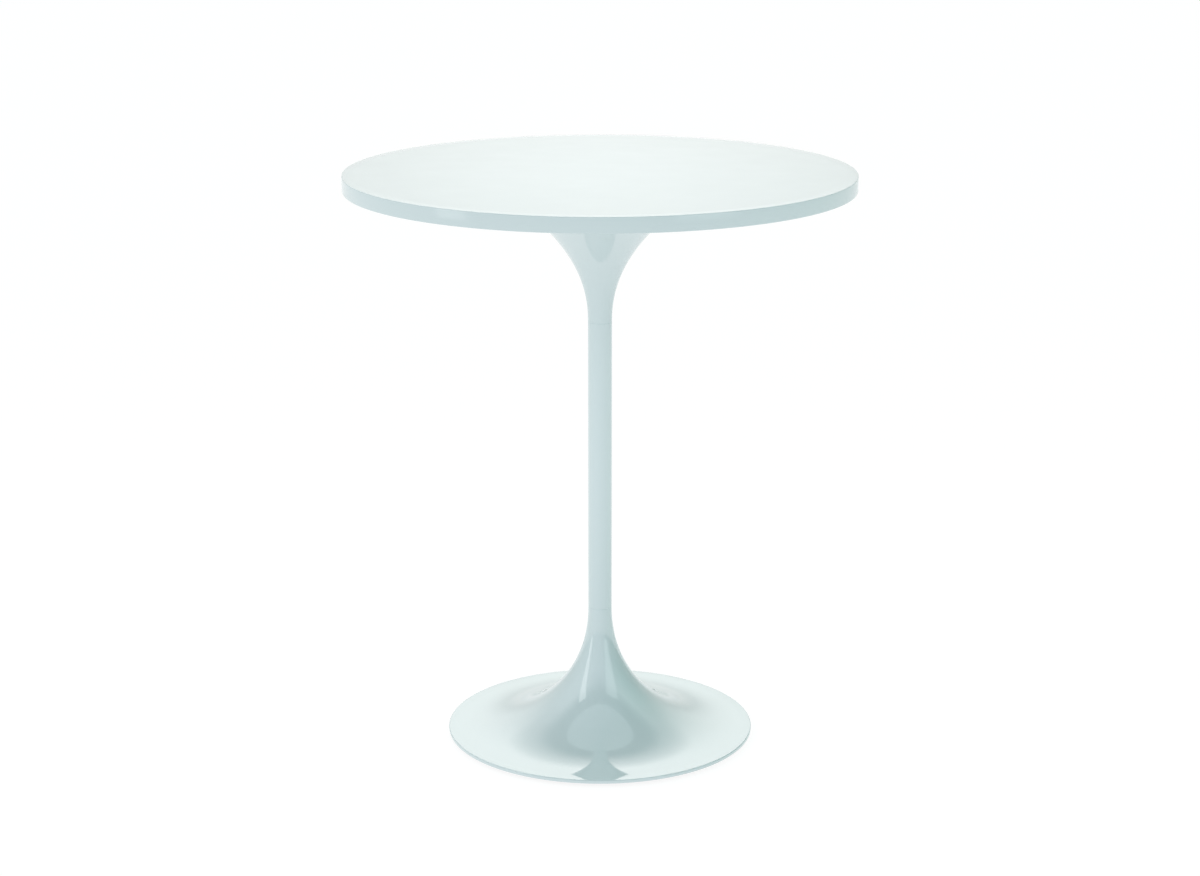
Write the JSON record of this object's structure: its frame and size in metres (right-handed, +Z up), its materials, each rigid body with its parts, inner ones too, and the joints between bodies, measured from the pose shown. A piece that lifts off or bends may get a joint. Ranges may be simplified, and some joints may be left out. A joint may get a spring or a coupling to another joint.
{
  "type": "round pedestal table",
  "caption": "Small round side table: a glossy lacquered disc top on a slim steel tube between a flared trumpet head and a wide trumpet base with levelling glides.",
  "frame": {"origin": "on the pedestal's axis, at floor level, under the glide pads", "axes": "+Z up along the pedestal's axis; the glides stand at 45 degrees to +X and +Y"},
  "size_m": [0.4499, 0.45, 0.52],
  "materials": {
    "lacquered_board": "gloss",
    "gloss_paint": "gloss",
    "zinc_steel": "satin",
    "spring_steel": "satin",
    "brass": "satin",
    "cast_iron": "matte",
    "black_plastic": "matte",
    "nylon": "satin"
  },
  "bodies": {
    "table": {"tabletop": "lacquered_board", "top_inserts": "brass", "mounting_plate": "zinc_steel", "plate_screws": "zinc_steel", "rod_coupler": "zinc_steel", "head_shell": "gloss_paint", "upper_spigot": "zinc_steel", "stem_tube": "gloss_paint", "lower_spigot": "zinc_steel", "base_shell": "gloss_paint", "ballast": "cast_iron", "tie_rod": "zinc_steel", "rod_washer": "zinc_steel", "rod_lock_washer": "spring_steel", "rod_nut": "zinc_steel", "glide_bushes": "zinc_steel", "base_cover": "black_plastic", "cover_screws": "zinc_steel", "cover_plug": "black_plastic"},
    "glide_pad_1": {"glide_pad_1": "nylon"},
    "glide_pad_2": {"glide_pad_2": "nylon"},
    "glide_pad_3": {"glide_pad_3": "nylon"},
    "glide_pad_4": {"glide_pad_4": "nylon"},
    "glide_stud_1": {"glide_stud_1": "zinc_steel"},
    "glide_stud_2": {"glide_stud_2": "zinc_steel"},
    "glide_stud_3": {"glide_stud_3": "zinc_steel"},
    "glide_stud_4": {"glide_stud_4": "zinc_steel"}
  },
  "joints": [
    {"name": "glide_1_travel", "type": "slide", "parent": "table", "child": "glide_pad_1", "axis": [0, 0, -1], "range_m": [-0.00075, 0.0025]},
    {"name": "glide_1_turn", "type": "hinge", "parent": "glide_pad_1", "child": "glide_stud_1", "pos_m": [0.0594, 0.0594, 0], "axis": [0, 0, -1], "range_deg": [-271, 901]},
    {"name": "glide_2_travel", "type": "slide", "parent": "table", "child": "glide_pad_2", "axis": [0, 0, -1], "range_m": [-0.00075, 0.0025]},
    {"name": "glide_2_turn", "type": "hinge", "parent": "glide_pad_2", "child": "glide_stud_2", "pos_m": [-0.0594, 0.0594, 0], "axis": [0, 0, -1], "range_deg": [-271, 901]},
    {"name": "glide_3_travel", "type": "slide", "parent": "table", "child": "glide_pad_3", "axis": [0, 0, -1], "range_m": [-0.00075, 0.0025]},
    {"name": "glide_3_turn", "type": "hinge", "parent": "glide_pad_3", "child": "glide_stud_3", "pos_m": [-0.0594, -0.0594, 0], "axis": [0, 0, -1], "range_deg": [-271, 901]},
    {"name": "glide_4_travel", "type": "slide", "parent": "table", "child": "glide_pad_4", "axis": [0, 0, -1], "range_m": [-0.00075, 0.0025]},
    {"name": "glide_4_turn", "type": "hinge", "parent": "glide_pad_4", "child": "glide_stud_4", "pos_m": [0.0594, -0.0594, 0], "axis": [0, 0, -1], "range_deg": [-271, 901]}
  ],
  "couplings": [
    {"joint": "glide_1_turn", "follows": "glide_1_travel", "rad_per_m": 6283.2},
    {"joint": "glide_2_turn", "follows": "glide_2_travel", "rad_per_m": 6283.2},
    {"joint": "glide_3_turn", "follows": "glide_3_travel", "rad_per_m": 6283.2},
    {"joint": "glide_4_turn", "follows": "glide_4_travel", "rad_per_m": 6283.2}
  ]
}
